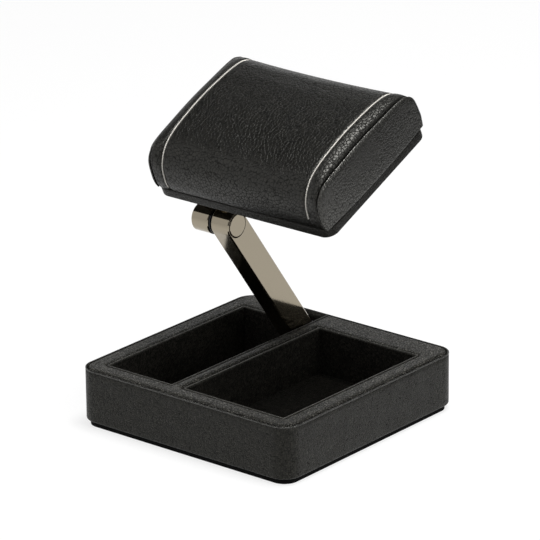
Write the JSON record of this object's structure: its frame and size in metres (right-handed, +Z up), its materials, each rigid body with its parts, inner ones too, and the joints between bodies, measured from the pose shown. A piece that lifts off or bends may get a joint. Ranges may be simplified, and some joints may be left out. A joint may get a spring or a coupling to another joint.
{
  "type": "watch stand",
  "caption": "Leather-covered square tray with two open compartments, a folding metal arm and a hinged watch cushion at its top.",
  "frame": {"origin": "middle of the tray's footprint, on the surface it rests on", "axes": "+X along both hinges, from the arm's compartment to the wide one; +Y from front to back; +Z up"},
  "size_m": [0.118, 0.118, 0.1475],
  "materials": {
    "plinth": "satin black",
    "board": "bare fibreboard",
    "wall_leather": "fine pebble grain",
    "rim_leather": "fine pebble grain, padded",
    "lining": "fine pebble grain, matte",
    "plate_leather": "fine pebble grain, matte",
    "cushion_leather": "smooth grain, matte",
    "steel": "zinc plated",
    "bright_steel": "polished",
    "dark_nickel": "polished dark nickel",
    "bush": "turned",
    "black_nylon": "matte",
    "foam": "open foam"
  },
  "bodies": {
    "base": {"plinth_plate": "plinth", "floor_board": "board", "front_wall_board": "board", "left_wall_board": "board", "right_wall_board": "board", "back_wall_board_left": "board", "back_wall_board_right": "board", "divider_board": "board", "wall_leather": "wall_leather", "rim_board": "board", "rim_leather": "rim_leather", "left_tray_liner": "lining", "right_tray_liner": "lining", "left_floor_pad": "lining", "right_floor_pad": "lining", "foot_bracket": "steel", "foot_bracket_screws": "steel", "foot_pin": "steel", "foot_stop_pin": "steel", "foot_washers": "black_nylon"},
    "arm": {"arm": "dark_nickel", "foot_bush": "bush", "head_pin": "dark_nickel", "head_nut": "steel", "head_friction_washers": "black_nylon", "head_steel_washer": "bright_steel"},
    "cushion": {"head_bracket": "dark_nickel", "head_bracket_screws": "steel", "cushion_base_board": "board", "cushion_base_leather": "plate_leather", "cushion_core": "foam", "cushion_cover": "cushion_leather", "left_end_cap": "cushion_leather", "right_end_cap": "cushion_leather", "left_cap_board": "board", "right_cap_board": "board"}
  },
  "joints": [
    {"name": "arm_fold", "type": "hinge", "parent": "base", "child": "arm", "pos_m": [0, 0.0505, 0.013], "axis": [1, 0, 0], "range_deg": [0, 53.93]},
    {"name": "cushion_tilt", "type": "hinge", "parent": "arm", "child": "cushion", "pos_m": [0, -0.0029, 0.08631], "axis": [1, 0, 0], "range_deg": [-78.28, 0]}
  ],
  "couplings": [
    {"joint": "cushion_tilt", "follows": "arm_fold", "ratio": -1.4515}
  ]
}
